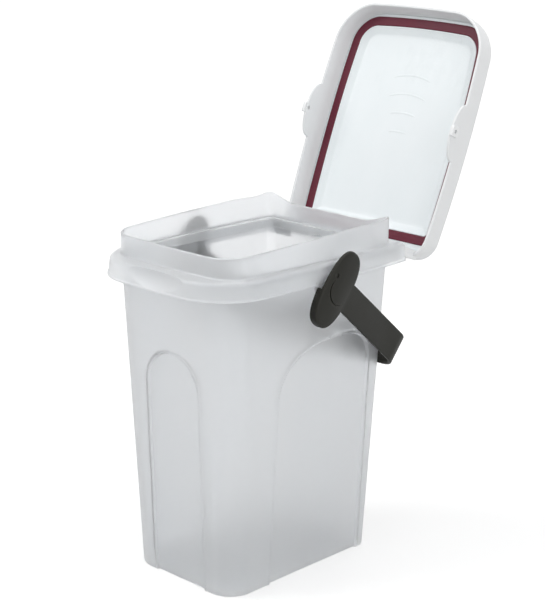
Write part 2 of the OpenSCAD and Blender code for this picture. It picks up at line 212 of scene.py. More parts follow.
def swept(name, rings, joined=False):
    """A closed mesh from rings of equal size; without joined, its two ends close at their middle."""
    rings = np.asarray(rings)
    count, size = rings.shape[:2]
    points = rings.reshape(-1, 3)
    faces = ring_faces(count, size, joined)
    if not joined:
        first, last = len(points), len(points) + 1
        points = np.vstack([points, rings[0].mean(0), rings[-1].mean(0)])
        for n in range(size):
            after = (n + 1) % size
            faces.append((after, n, first))
            faces.append(((count - 1) * size + n, (count - 1) * size + after, last))
    return facing_out(make_piece(name, points, faces))


def turned(points, y, z, degrees):
    """Points turned about an axis along X that passes through y, z."""
    angle = math.radians(degrees)
    points = np.asarray(points, float)
    dy, dz = points[..., 1] - y, points[..., 2] - z
    result = points.copy()
    result[..., 1] = y + dy * math.cos(angle) - dz * math.sin(angle)
    result[..., 2] = z + dy * math.sin(angle) + dz * math.cos(angle)
    return result


def finish_mesh(piece):
    """Shades a piece smooth and keeps only its true edges sharp."""
    mesh = facing_out(piece, WELD).data
    mesh.shade_smooth()
    mesh.set_sharp_from_angle(angle=SHARP_ANGLE)
    print(piece.name, "has", len(mesh.polygons), "faces")
    return piece


def move_points(piece, change):
    points = np.array([v.co for v in piece.data.vertices]) / MM
    piece.data.vertices.foreach_set("co", (change(points) * MM).ravel())


def combine(piece, tool, operation):
    """Joins a closed tool to a piece, or cuts it out, and removes the tool."""
    modifier = piece.modifiers.new("combine", "BOOLEAN")
    modifier.operation = operation
    modifier.solver = "MANIFOLD"
    modifier.object = tool
    bpy.context.view_layer.objects.active = piece
    bpy.ops.object.modifier_apply(modifier=modifier.name)
    bpy.data.objects.remove(tool)
    return piece


# %% Profile helpers
SMALL_ROUND = 3
MIDDLE_ROUND = 4
LARGE_ROUND = 8


def round_corner(inset, z, across, up, steps, upright=True):
    """Profile points round a corner whose tangents meet at inset, z; it sets out upright or level."""
    turn = np.radians(np.linspace(0, 90, steps + 1))
    slow, fast = 1 - np.cos(turn), 1 - np.sin(turn)
    if not upright:
        slow, fast = fast, slow
    return [(inset + across * a, z + up * b) for a, b in zip(slow, fast)]


def straight(start, end, shares):
    """Profile points between two places, each an inset and a height."""
    return [(mix(start[0], end[0], share), mix(start[1], end[1], share)) for share in shares]


def on_plan(plan, profile):
    """One ring of a plan for each inset and height of a profile."""
    return [at_height(plan.ring(inset), z) for inset, z in profile]


def between(first, last, shares):
    return [mix(first, last, share) for share in shares]


def shrunk(ring, shares, z):
    """Smaller and smaller copies of a ring, which close a flat face."""
    middle = ring.mean(0)[:2]
    return [at_height(middle + (ring[:, :2] - middle) * share, z) for share in shares]


def soft_step(share):
    return share * share * (3 - 2 * share)


# %% [markdown]
# ## Small moulded solids
#
# Lugs, bosses, ears, loops and the handle's heads are flat shapes with a thickness and a soft edge.
# A primitive with a Bevel modifier would do for a box, but not for an ear or an oval. The function
# below takes any outline and lays rings across its edge, each moved in along the outline's own
# normals, which rounds the edge exactly. A second one joins such plates to a moulding, or cuts them
# out of it.

# %% Rounded plates
SHARP_EDGE = 0.01
CROWN_SHARES = (0.93, 0.85, 0.75, 0.62, 0.48, 0.34, 0.2, 0.08)


def edge_normals(outline):
    steps = (np.roll(outline, -1, 0) - outline, outline - np.roll(outline, 1, 0))
    along = sum(step / np.linalg.norm(step, axis=1)[:, None] for step in steps)
    along /= np.linalg.norm(along, axis=1)[:, None]
    return np.column_stack([along[:, 1], -along[:, 0]])


def side_plate(name, outline, sign, inner, outer, inner_edge=SHARP_EDGE, outer_edge=SHARP_EDGE,
               dome=0.0):
    """A plate that lies in Y and Z, with its thickness along X from inner to outer.

    The edges give the radius of each face's edge, and dome crowns the outer face. With sign -1 the
    plate is mirrored to the left side.
    """
    outline = np.asarray(outline, float)
    normals = edge_normals(outline)
    profile = round_corner(0, inner, inner_edge, inner_edge, MIDDLE_ROUND, upright=False)
    profile += round_corner(0, outer - dome, outer_edge, -outer_edge, MIDDLE_ROUND)
    stack = [(outline - normals * inset, x) for inset, x in profile]
    if dome:
        face = stack[-1][0]
        middle = face.mean(0)
        stack += [(middle + (face - middle) * share, outer - dome * share * share)
                  for share in CROWN_SHARES]
    piece = swept(name, [np.column_stack([np.full(len(flat), x), flat]) for flat, x in stack])
    if sign < 0:
        piece.data.transform(Matrix.Diagonal((-1, 1, 1, 1)))
        piece.data.flip_normals()
    return piece


def fit_plates(piece, sign, rows, change=None):
    """Joins plates to a piece or cuts them out, each given as operation, name, outline and sizes."""
    for operation, name, outline, *sizes in rows:
        plate = side_plate(name, outline, sign, *sizes)
        if change:
            move_points(plate, change)
        combine(piece, plate, operation)


def circle(radius, cy=0.0, cz=0.0, count=64):
    angles = np.radians(360 * np.arange(count) / count)
    return np.column_stack([cy + radius * np.cos(angles), cz + radius * np.sin(angles)])


def rounded_box(low, high, radius, count=6):
    """A rectangle with round corners, from its lowest to its highest corner."""
    (y0, z0), (y1, z1) = low, high
    corners = [(y1 - radius, z0 + radius, -90), (y1 - radius, z1 - radius, 0),
               (y0 + radius, z1 - radius, 90), (y0 + radius, z0 + radius, 180)]
    return np.vstack([arc_points(cy, cz, radius, start, count) for cy, cz, start in corners])


# %% [markdown]
# ## The tub
#
# The tub is a deep drafted box in frosted plastic, with an arched panel pressed into each wall. The
# arches could be cut with booleans, but a cut leaves a hard edge, and a pressed panel has a soft one.
# Instead the wall is a fine grid. Each grid point near an arch slides onto an even distance from the
# arch's outline. The step between two such rows presses the panel in, and the row just outside it
# stands a little proud as a fine lip.

# %% Tub sizes
half_base = 58.5
base_half_l = 83.0
side_draft = 10.7
front_draft = 11.5
back_draft = 8.8
tub_bow = 3.0
wall = 2.0
floor_t = 2.6
tub_front_r = 22.0
tub_back_r = 9.0
panel_depth = 2.0
panel_lip = 0.55
end_panel_half = 29.0
end_panel_top = 198.0
side_panel_y = 24.0
side_panel_ends = (61.2, 46.0)
side_panel_spring = 159.0
side_panel_top = 202.4
foot_r = 2.0
foot_w = 5.0
foot_rise = 1.0
foot_slope = 2.0
inner_foot_r = 5.0
top_gap = 0.05
top_edge = 0.4
cell = 1.0
slide_reach = 2.6
slide_fade = 1.4
print("tub mouth", 2 * (half_base + side_draft), "wide, wall", wall)

# %% Arches
class Arch:
    """An arched outline on a wall: straight legs, and an oval crown that can be wider on one side."""

    def __init__(self, centre, before, after, spring, top, fullness):
        self.centre = centre
        self.before = before
        self.after = after
        self.spring = spring
        self.top = top
        self.fullness = fullness

    def distance(self, along, z):
        """Distance inside the outline, negative outside, and the direction in which it grows."""
        side = np.where(along < self.centre, self.before, self.after)
        rise = self.top - self.spring
        power = np.where(along < self.centre, self.fullness[0], self.fullness[1])
        dx = (along - self.centre) / side
        dz = np.clip(z - self.spring, 0, None) / rise
        away = np.maximum(np.abs(dx), 1e-6)
        size = (away ** power + dz ** power) ** (1 / power)
        slope_x = np.where(dx < 0, -1, 1) * (away / size) ** (power - 1) / side
        slope_z = (dz / size) ** (power - 1) / rise
        steepness = np.hypot(slope_x, slope_z)
        return (1 - size) / steepness, -slope_x / steepness, -slope_z / steepness

    def slid(self, along, z, grow):
        """Grid points near the arch, slid onto even distances from its outline."""
        distance, ux, uz = self.distance(along, z)
        distance = distance + grow
        level = (np.floor(distance / cell) + 0.5) * cell
        hold = np.clip((slide_reach - np.abs(distance)) / slide_fade, 0, 1)
        shift = (level - distance) * hold * (z > 2 * foot_r)
        return along + ux * shift, z + uz * shift * (z < self.top + 3), distance + shift


def pressed(distance):
    """How far the wall goes in: a fine lip just outside an arch's outline, and the panel inside it."""
    lip = panel_lip * np.clip(1 - np.abs(distance / cell + 0.5), 0, 1)
    return panel_depth * np.clip(distance / cell + 0.5, 0, 1) - lip


end_arch = Arch(0, end_panel_half, end_panel_half, end_panel_top - end_panel_half, end_panel_top,
                (2, 2))
side_arch = Arch(side_panel_y, *side_panel_ends, side_panel_spring, side_panel_top, (2.2, 3.5))
print("arch tops", end_arch.top, side_arch.top)

# %% Tub columns and rows
TUB_CORNER_STEPS = 16
LOWER_ROWS = 22
UPPER_ROWS = 12
close_rows_below = 3.0
close_rows_above = 4.0
top_row = tub_h - 1.0


def wall_columns(arch, margin=3.7, spare=5):
    """Places along one wall: even ones over the arch, and shares of the way out to each corner."""
    first = arch.centre - arch.before - margin
    last = arch.centre + arch.after + margin
    inner = np.linspace(first, last, int((last - first) / cell) + 1)
    return inner, first, last, even_shares(spare + 1)


def wall_places(low, high, columns):
    """The places of a wall's columns where its straight part runs from low to high."""
    inner, first, last, shares = columns
    before = [mix(low, first, share) for share in shares]
    after = [mix(last, high, share) for share in shares]
    middle = [np.full(low.shape, place) for place in inner]
    return np.stack(before + middle + after, axis=-1)


def wall_heights(low):
    """Close rows where the arches curve, and wide ones elsewhere."""
    spring = side_arch.spring - close_rows_below
    crown = side_arch.top + close_rows_above
    lower = np.linspace(low, spring, LOWER_ROWS)
    middle = np.linspace(spring, crown, int((crown - spring) / cell))
    upper = np.linspace(crown, top_row, UPPER_ROWS)
    return np.concatenate([lower, middle[1:], upper[1:]])


end_columns = wall_columns(end_arch)
side_columns = wall_columns(side_arch)
print("columns on an end and on a side:", len(end_columns[0]), len(side_columns[0]))

# %% Tub rings
def tub_sizes(height):
    """Half width, front, back and bow of the drafted tub at some heights."""
    share = np.clip(height / tub_h, 0, 1)
    return (half_base + side_draft * share, base_half_l + front_draft * share,
            base_half_l + back_draft * share, tub_bow * share)


def bent(x, y, height, extra):
    half, front, back, bow = tub_sizes(height)
    x, y = bulged(x, y, half - extra, front - extra, back - extra, bow)
    return np.stack([x, y, height], axis=-1)


def tub_rings(profile, grow=0.0, press=1.0):
    """Rings of the tub's wall for a profile, with the arches grown and pressed in."""
    insets, z = np.array(profile, float).T
    inset = insets[:, None]
    press = np.broadcast_to(press, z.shape)[:, None]
    half, front, back, _ = tub_sizes(z)

    def corner(sign, radius, start, steps):
        angles = np.radians(start + 90 * np.linspace(0, 1, steps + 1))
        r = np.maximum(radius - inset, LEAST_RADIUS)
        reach = (front if sign < 0 else back)[:, None]
        cx = half[:, None] - inset - r
        cy = sign * (reach - inset - r)
        height = np.broadcast_to(z[:, None], (len(z), steps + 1))
        return bent(cx + r * np.cos(angles), cy + r * np.sin(angles), height, inset)

    def panelled(arch, columns, low, high):
        along = wall_places(low, high, columns)
        height = np.broadcast_to(z[:, None], along.shape)
        along, height, distance = arch.slid(along, height, grow)
        return along, height, inset + press * pressed(distance)

    def end(sign, radius):
        along, height, extra = panelled(end_arch, end_columns, radius - half, half - radius)
        reach = tub_sizes(height)[1 if sign < 0 else 2]
        return bent(along, sign * (reach - extra), height, extra)

    along, height, extra = panelled(side_arch, side_columns, tub_front_r - front, back - tub_back_r)
    side = bent(tub_sizes(height)[0] - extra, along, height, extra)
    right = np.concatenate([corner(-1, tub_front_r, -90, TUB_CORNER_STEPS), side,
                            corner(1, tub_back_r, 0, BACK_STEPS)], axis=1)
    left = right[:, ::-1] * (-1, 1, 1)
    return np.concatenate([right, end(1, tub_back_r)[:, ::-1], left, end(-1, tub_front_r)], axis=1)


# %% Tub mesh
FOOT_STEPS = 6


def make_tub():
    top_z = tub_h - top_gap
    under = tub_rings([(foot_w + foot_slope, foot_rise), (foot_w + foot_slope / 2, 0.4 * foot_rise),
                       (foot_w, 0)], press=0)
    foot = tub_rings(round_corner(0, 0, foot_r, foot_r, FOOT_STEPS, upright=False))
    outer = tub_rings([(0, z) for z in wall_heights(foot_r)])
    lips = tub_rings([(0, top_z - top_edge), (top_edge, top_z), (wall - top_edge, top_z),
                      (wall, top_z - top_edge)])
    inner = tub_rings([(wall, z) for z in wall_heights(floor_t + inner_foot_r)[::-1]], grow=wall)
    fillet = tub_rings(round_corner(wall, floor_t, inner_foot_r, inner_foot_r, FOOT_STEPS),
                       grow=wall, press=np.linspace(1, 0, FOOT_STEPS + 1))
    rings = shrunk(under[0], [0.1, 0.4, 0.8], foot_rise)
    for stack in (under, foot, outer[1:], lips, inner, fillet[1:]):
        rings += list(stack)
    rings += shrunk(fillet[-1], [0.8, 0.4, 0.1], floor_t)
    return finish_mesh(swept("tub_shell", rings))


tub = make_tub()

# %% [markdown]
# ## The rim frame
#
# The rim is one moulding: a thin mouth collar that the lid's seal sits on, a wide flange with a skirt
# that flares at its lower lip, and a lip that plugs into the tub. All of it has one section, so the
# section is swept once round the mouth. The collar's top edge slopes up towards the back, and dips
# between two horns behind, so its height is worked out for every point of the outline. The finger
# scoop in front is pressed into the swept points, and the catch boss on each side is raised out of
# them. Booleans would do as well, but they leave hard edges where these are soft.

# %% Rim sizes
collar_t = 1.9
collar_half = 67.3
collar_front = 95.2
collar_back = 91.1
collar_front_r = 20.0
collar_back_r = 7.0
collar_spread = 2.8
rim_bow = 4.3
seat_slope = 1.86
collar_h = 19.9
flange_t = 2.0
flange_z = tub_h + flange_t
skirt_z = flange_z - 15.5
flange_half = rim_high[0] - rim_bow
flange_front = -rim_low[1] - FRONT_BOW * rim_bow
flange_back = 106.7
flange_front_r = 43.0
flange_back_r = 7.0
skirt_inset = 1.8
flange_edge_r = 4.0
skirt_draft = 0.9
flare_top = skirt_z + 2.6
flare_low = skirt_z + 1.2
lip_r = 0.5
mouth_lip_h = 6.0
mouth_lip_gap = 0.4
mouth_lip_r = 0.6
collar_fillet = 1.5
dip_z = flange_z + 15.8
dip_half = collar_half - 25.0
dip_run = 24.0
horn_bend = 1.2
horn_sag = 1.5
horn_start = 40.0
sag_power = 1.4
mouth_middle = (collar_back - collar_front) / 2
seat_z = flange_z + collar_h
print("flange half width", round(flange_half, 2), "front", round(flange_front, 2))

# %% Rim plans
catch_r = 5.6
catch_y = -3.5
catch_z = flange_z - 8.2
catch_soft = 0.7
catch_proud = 0.45
catch_columns = np.linspace(catch_y - catch_r - 2, catch_y + catch_r + 2, 24)
rim_sides = packed_shares(flange_front_r - flange_front, flange_back - flange_back_r, catch_columns,
                          before=20, after=32)
collar_plan = Plan(collar_half, collar_front, collar_back, collar_front_r, collar_back_r, rim_bow,
                   rim_sides, collar_spread)
flange_plan = Plan(flange_half, flange_front, flange_back, flange_front_r, flange_back_r, rim_bow,
                   rim_sides)
mouth_plan = Plan(half_base + side_draft, base_half_l + front_draft, base_half_l + back_draft,
                  tub_front_r, tub_back_r, tub_bow, rim_sides)
print("rim outline points:", len(flange_plan.ring()))


def seat_height(ring):
    """Height of the collar's top edge over each point of its outline."""
    x, y = ring[:, 0], ring[:, 1]
    along = np.clip((y - horn_start) / (collar_back - horn_start), 0, 1)
    sag = horn_sag * np.sin(math.pi * along ** sag_power) ** 2
    sloped = seat_z + (y - mouth_middle) * math.tan(math.radians(seat_slope)) - sag
    rise = np.clip((np.abs(x) - dip_half) / dip_run, 0, 1)
    dipped = mix(dip_z, sloped, rise ** horn_bend)
    behind = y > collar_back - collar_back_r - 0.1
    return np.where(behind, np.minimum(sloped, dipped), sloped)


# %% Finger scoop
scoop_size = np.array([38.0, 8.8, 15.0])
scoop_away = 4.2
scoop_x = 5.0
scoop_soft = 0.06
least_push = 0.02
scoop_y = rim_low[1] + skirt_inset - scoop_away


def scooped(points, grow):
    """Presses points on the rim's front back onto the egg-shaped hollow of the finger scoop."""
    x, y, z = points[:, 0], points[:, 1], points[:, 2]
    wide, deep, high = scoop_size + grow
    reach = np.clip(1 - ((x - scoop_x) / wide) ** 2 - ((z - flange_z) / high) ** 2, 0, None)
    push = scoop_y + deep * np.sqrt(reach) - y
    push = (push + np.hypot(push, scoop_soft)) / 2
    nose = (y < -collar_front * 0.8) & (push > least_push)
    result = points.copy()
    result[:, 1] = y + np.where(nose, push, 0)
    return result


# %% Catch boss
def catch_raised(points):
    """Raises the round boss on each side of the skirt that the lid's loop rides over."""
    away = np.hypot(points[:, 1] - catch_y, points[:, 2] - catch_z)
    share = soft_step(np.clip((catch_r + catch_soft - away) / (2 * catch_soft), 0, 1))
    on_side = np.abs(points[:, 0]) > flange_half * 0.8
    result = points.copy()
    result[:, 0] += np.sign(points[:, 0]) * np.where(on_side, catch_proud * share, 0)
    return result


# %% Rim section
edge_inset = skirt_inset + flange_edge_r
inner_edge_r = flange_edge_r / 2
plug_inset = wall + mouth_lip_gap
plug_z = tub_h - mouth_lip_h
ledge_ease = 0.3


def collar_rings(top):
    """From inside the collar's top edge over it and down to the flange."""
    half_t = collar_t / 2
    return on_plan(collar_plan, round_corner(collar_t, top, -half_t, -half_t, MIDDLE_ROUND)
                   + round_corner(0, top, half_t, -half_t, MIDDLE_ROUND, upright=False)[1:]
                   + straight((0, top - half_t), (0, flange_z + collar_fillet), even_shares(5))
                   + round_corner(0, flange_z, -collar_fillet, collar_fillet, MIDDLE_ROUND))


def outside_rings():
    """Over the flange, down the drafted skirt and out along its flared lip."""
    over = between(at_height(collar_plan.ring(-collar_fillet), flange_z),
                   at_height(flange_plan.ring(edge_inset), flange_z), even_shares(11))
    drafted = skirt_inset - skirt_draft
    flare = [(drafted * (1 - soft_step(share)), mix(flare_top, flare_low, share))
             for share in np.linspace(0, 1, 6)]
    shoulder = round_corner(skirt_inset, flange_z, flange_edge_r, -flange_edge_r, LARGE_ROUND,
                            upright=False)
    skirt = straight(shoulder[-1], (drafted, flare_top), even_shares(10))
    lip = round_corner(0, skirt_z, lip_r, lip_r, SMALL_ROUND)
    return over + on_plan(flange_plan, shoulder + skirt + flare + lip)


def inside_rings():
    """Up the inside of the skirt to the flange's underside."""
    drafted = (skirt_inset - skirt_draft + flange_t, flare_top)
    under = (skirt_inset + flange_t, tub_h - inner_edge_r - 0.4)
    return on_plan(
        flange_plan, round_corner(3 * lip_r, skirt_z, -lip_r, lip_r, SMALL_ROUND, upright=False)
        + straight((3 * lip_r, flare_low), drafted, np.linspace(0, 1, 4)[1:])
        + straight(drafted, under, np.linspace(0, 1, 9)[1:])
        + round_corner(edge_inset - inner_edge_r, tub_h, inner_edge_r, -inner_edge_r, MIDDLE_ROUND))


def plug_rings(top):
    """Along the underside, round the lip that plugs into the tub, and up inside the collar."""
    inner = plug_inset + collar_t
    rings = between(at_height(flange_plan.ring(edge_inset), tub_h),
                    at_height(mouth_plan.ring(plug_inset), tub_h), np.linspace(0, 1, 7)[1:])
    rings += on_plan(
        mouth_plan, straight((plug_inset, tub_h), (plug_inset, plug_z + mouth_lip_r), (0.5, 1))
        + round_corner(plug_inset, plug_z, mouth_lip_r, mouth_lip_r, SMALL_ROUND)[1:]
        + round_corner(inner, plug_z, -mouth_lip_r, mouth_lip_r, SMALL_ROUND, upright=False)
        + straight((inner, plug_z + mouth_lip_r), (inner, flange_z - ledge_ease), (0.5, 1)))
    rings += between(at_height(mouth_plan.ring(inner), flange_z),
                     at_height(collar_plan.ring(collar_t), flange_z), (0.25, 0.8))
    wall_up = straight((collar_t, flange_z + ledge_ease), (collar_t, top - collar_t / 2),
                       (0, 0.25, 0.5, 0.75))
    return rings + on_plan(collar_plan, wall_up)


# %% Rim mesh
def rim_rings():
    top = seat_height(collar_plan.ring(collar_t / 2))
    outside = [catch_raised(scooped(ring, 0)) for ring in outside_rings()]
    inside = [scooped(ring, flange_t) for ring in inside_rings()]
    return collar_rings(top) + outside + inside + plug_rings(top)


rim = swept("rim_shell", rim_rings(), joined=True)
print("rim points:", len(rim.data.vertices), "scoop reaches y =", round(scoop_y + scoop_size[1], 1))

# %% [markdown]
# ## Hinge pockets, lugs, aprons and bosses on the rim
#
# Behind the collar the flange is cut away in two pockets, and a lug in each one carries a hinge pin.
# At the sides an apron hangs below the skirt and holds the boss of the handle's stud. These are joined
# with booleans, because each is a simple solid that grows out of the swept shell.

# %% Rim fittings
lug_r = 6.0
lug_x = 56.0
lug_w = 10.0
ear_w = 4.4
ear_gap = 0.4
pocket_x = lug_x - ear_w - 2 * ear_gap
pocket_w = lug_w + 2 * ear_w + 4 * ear_gap
pocket_y = hinge_y - lug_r - 2.0
pin_r = 2.0
stud_r = 4.0
running_gap = 0.05
press_gap = 0.02
apron_half = 19.0
apron_h = 15.5
apron_t = 2.2
apron_edge = 1.6
apron_x = rim_high[0] - 0.4
boss_r = 8.5
boss_l = 7.6


def arc_yz(cy, cz, across, up, start, end, count):
    angles = np.radians(np.linspace(start, end, count))
    return [(cy + across * math.cos(a), cz + up * math.sin(a)) for a in angles]


def lug_outline():
    nose = arc_yz(hinge_y, hinge_z, lug_r, lug_r, -90, 90, 25)
    root = pocket_y - 2 * flange_t
    return np.array(nose + [(root, hinge_z + lug_r), (root, hinge_z - lug_r)])


def apron_outline():
    low = arc_yz(pivot_y, skirt_z, apron_half, apron_h, 180, 360, 49)
    top = skirt_z + 2 * flange_t
    return np.array(low + [(pivot_y + apron_half, top), (pivot_y - apron_half, top)])


backing = rounded_box((pocket_y - flange_t, skirt_z), (pocket_y, flange_z - 1.4), 0.3, 2)
pocket = rounded_box((pocket_y, skirt_z - 1), (rim_high[1] + 2, flange_z + 1), 0.6, 3)
boss = circle(boss_r, pivot_y, pivot_z)
pin_bore = circle(pin_r + running_gap, hinge_y, hinge_z, 48)
stud_bore = circle(stud_r + running_gap, pivot_y, pivot_z, 48)
for sign in (1, -1):
    fit_plates(rim, sign, (
        ("UNION", "wall", backing, pocket_x - flange_t, pocket_x + pocket_w + flange_t, 0.3, 0.3),
        ("UNION", "apron", apron_outline(), apron_x - apron_t, apron_x, 0.4, apron_edge),
        ("UNION", "boss", boss, apron_x - boss_l, apron_x - 0.3, 0.5, 0.1),
        ("DIFFERENCE", "pocket", pocket, pocket_x, pocket_x + pocket_w, 0.1, 0.1),
        ("UNION", "lug", lug_outline(), lug_x, lug_x + lug_w, 0.6, 0.6),
        ("DIFFERENCE", "bore", pin_bore, lug_x - 1, lug_x + lug_w + 1),
        ("DIFFERENCE", "bore", stud_bore, apron_x - boss_l - 1, apron_x + 1)))
finish_mesh(rim)

# %% [markdown]
# ## The lid
#
# The lid is modelled shut and level, because its section is easy to describe there, and then it is
# tilted onto the sloping collar and swung open about the hinge, exactly as the real one moves. Each
# long side hangs down in a catch lobe. The lobe is not a separate part of the mesh: the lower edge of
# the wall just drops along that stretch of the outline.

# %% Lid sizes and plans
lid_t = 2.3
lid_half = 79.3
lid_front = 105.8
lid_back = 108.0
lid_front_r = 34.6
lid_back_r = 19.0
lid_z = flange_z + 4.6
gasket_z = seat_z + 0.3
liner_z = gasket_z + 1.0
lid_ceiling_z = liner_z + 3.8
lid_top_z = lid_ceiling_z + 2.2
lid_lean = 1.3
lean_top_z = lid_top_z - 5.5
shoulder_r = 6.0
lid_soft_in = 0.6
lid_soft_out = 0.8
lid_haunch = ((6.2, 0.0), (4.9, 2.75), (3.6, 5.5))
lobe_y = -3.5
lobe_half = 23.5
lobe_h = 11.3
lobe_ease = 0.12
seal_spread = 1.8
seal_back = -0.5
seal_back_r = 8.0
seal_widening = 2.3
lobe_columns = lobe_y - (lobe_half + 3) * np.cos(np.linspace(0, math.pi, 41))
lid_sides = packed_shares(lid_front_r - lid_front, lid_back - lid_back_r, lobe_columns,
                          before=16, after=24)
lid_plan = Plan(lid_half, lid_front, lid_back, lid_front_r, lid_back_r, rim_bow, lid_sides)
seal_plan = Plan(collar_half + seal_spread, collar_front, collar_back + seal_back, collar_front_r,
                 seal_back_r, rim_bow, lid_sides, seal_widening)


def lobe_drop(ring):
    """How far the lid's lower edge hangs below its rim at each point of the outline."""
    span = (ring[:, 1] - lobe_y) / (lobe_half + 1.5)
    inside = np.clip(1 - span ** 2, 0, 1)
    drop = lobe_h * np.sqrt(inside) * np.clip(inside / lobe_ease, 0, 1) ** 0.7
    return np.where(np.abs(ring[:, 0]) > lid_half - 8, drop, 0)


def lean_at(z):
    return lid_lean * np.clip((z - lid_z) / (lean_top_z - lid_z), 0, 1)


def leaning_wall(first, last, shares, inset):
    """Rings of the lid's wall from one height to another, leaning inwards as it rises."""
    outer = lid_plan.ring(0)
    inwards = lid_plan.ring(1.0) - outer
    heights = between(first, last, shares)
    return [at_height(outer + inwards * (inset + lean_at(z))[:, None], z) for z in heights]


def as_seated_open(points):
    """Tilts a shut, level piece onto the sloping collar, then swings it open about the hinge."""
    return turned(turned(points, mouth_middle, gasket_z, seat_slope), hinge_y, hinge_z, -open_angle)


print("lid columns:", len(lid_plan.ring()), "top at", lid_top_z)

# %% Lid shell
def lid_rings():
    low = lid_z - lobe_drop(lid_plan.ring())
    rings = shrunk(lid_plan.ring(8), [0.1, 0.5], lid_ceiling_z)
    rings += on_plan(lid_plan, [(inset, lid_ceiling_z - depth) for inset, depth in lid_haunch])
    rings += leaning_wall(lid_ceiling_z - lid_haunch[-1][1], low + lid_soft_in, even_shares(5), lid_t)
    rings += on_plan(lid_plan, round_corner(lid_t, low, -lid_soft_in, lid_soft_in, MIDDLE_ROUND)
                     + round_corner(0, low, lid_soft_out, lid_soft_out, MIDDLE_ROUND, upright=False))
    rings += leaning_wall(low + lid_soft_out, lid_top_z - shoulder_r, even_shares(7), 0)
    rings += on_plan(lid_plan, round_corner(lid_lean, lid_top_z, shoulder_r, -shoulder_r, LARGE_ROUND))
    return rings + shrunk(rings[-1], [0.9, 0.6, 0.3, 0.1], lid_top_z)


lid = swept("lid_cover", lid_rings())
print("lid points:", len(lid.data.vertices))

# %% [markdown]
# ## Catch loops and hinge ears
#
# A small square loop stands on each lobe, and four ears hang from the lid's back edge round the hinge
# pins. They are rounded plates joined to the shell while the lid is still shut, so their places are
# the plain ones of the shut lid.

# %% Lid fittings
loop_l = 9.0
loop_h = 8.0
loop_t = 2.4
loop_hole = 3.2
loop_hole_z = 3.8
loop_x = lid_half + rim_bow - 0.15
loop_z = lid_z - lobe_h - 1.2
ear_r = 5.5
neck_front = 4.0
neck_back = 3.7
neck_h = 22.0


def ear_outline():
    round_part = arc_yz(hinge_y, hinge_z, ear_r, ear_r, 180, 360, 25)
    neck = [(hinge_y + neck_back, hinge_z + 4.6), (hinge_y + neck_back, hinge_z + neck_h),
            (hinge_y - neck_front, hinge_z + neck_h), (hinge_y - neck_front, hinge_z + 4.4)]
    return np.array(round_part + neck)


def unseat(points):
    """Undoes the tilt onto the collar, for what is placed by the hinge and not by the lid."""
    return turned(points, mouth_middle, gasket_z, -seat_slope)


hole_low = loop_z + loop_hole_z - loop_hole / 2
loop = rounded_box((lobe_y - loop_l / 2, loop_z), (lobe_y + loop_l / 2, loop_z + loop_h), 1.2, 5)
hole = rounded_box((lobe_y - loop_hole / 2, hole_low),
                   (lobe_y + loop_hole / 2, hole_low + loop_hole), 0.7, 4)
ear_bore = circle(pin_r + press_gap, hinge_y, hinge_z, 48)
for sign in (1, -1):
    fit_plates(lid, sign, (
        ("UNION", "loop", loop, loop_x - 1.2, loop_x + loop_t, 0.1, 0.6),
        ("DIFFERENCE", "hole", hole, loop_x - lid_t - 2, loop_x + loop_t + 1)))
    for x in (lug_x - ear_gap - ear_w, lug_x + lug_w + ear_gap):
        fit_plates(lid, sign, (
            ("UNION", "ear", ear_outline(), x, x + ear_w, 0.5, 0.5),
            ("DIFFERENCE", "bore", ear_bore, x - 0.5, x + ear_w + 0.5)), unseat)
move_points(lid, as_seated_open)
finish_mesh(lid)

# %% [markdown]
# ## Liner and gasket
#
# The liner is a paler panel under the lid's top. Just inside the gasket it has a fine raised bead, then
# a band that slopes down to a flat panel with four shallow arc-shaped ribs. The gasket is a broad
# rubber band in a groove of the liner. Both could follow the lid's outline, but the gasket has to land
# on the collar's edge when the lid shuts, so both are swept on the collar's own outline.

# %% Liner
gasket_w = 8.0
gasket_t = 3.0
gasket_low = collar_t / 2 - gasket_w / 2
gasket_high = collar_t / 2 + gasket_w / 2
groove_z = gasket_z + gasket_t
pan_z = liner_z + 2.6
liner_back_z = lid_ceiling_z - 0.05


def liner_rings():
    """Back face and edge on the lid's plan, then groove, bead, slope and panel on the seal's."""
    edge = [(6.75, liner_back_z), (6.45, liner_back_z - 0.3), (5.5, liner_z + 1.8),
            (4.8, liner_z + 0.4), (4.95, liner_z + 0.1), (5.3, liner_z)]
    groove = [(gasket_low - 0.3, liner_z), (gasket_low, liner_z + 0.3), (gasket_low, groove_z),
              (gasket_high, groove_z)]
    steps = ((0, 0.2), (0.15, -0.35), (0.5, -0.6), (0.95, -0.6), (1.3, -0.35), (1.6, 0.1),
             (2.2, 0.45), (4.0, 1.3), (6.0, 2.2), (6.8, 2.5), (7.6, 2.6))
    bead = [(gasket_high + across, liner_z + up) for across, up in steps]
    rings = shrunk(lid_plan.ring(7.5), [0.1, 0.5, 0.95], liner_back_z) + on_plan(lid_plan, edge)
    middle = mix(lid_plan.ring(edge[-1][0]), seal_plan.ring(groove[0][0]), 0.5)
    rings += [at_height(middle, liner_z)] + on_plan(seal_plan, groove + bead)
    return rings + shrunk(rings[-1], [0.97, 0.8, 0.6, 0.4, 0.2, 0.08], pan_z)


liner = swept("lid_panel", liner_rings())
print("liner points:", len(liner.data.vertices))

# %% Ribs on the liner
mark_x = 2.5
mark_y = -51.0
mark_step = 17.0
mark_radius = 60.0
mark_half_w = 0.9
mark_h = 0.24
mark_spans = [42.0, 42.0, 29.0, 20.0]


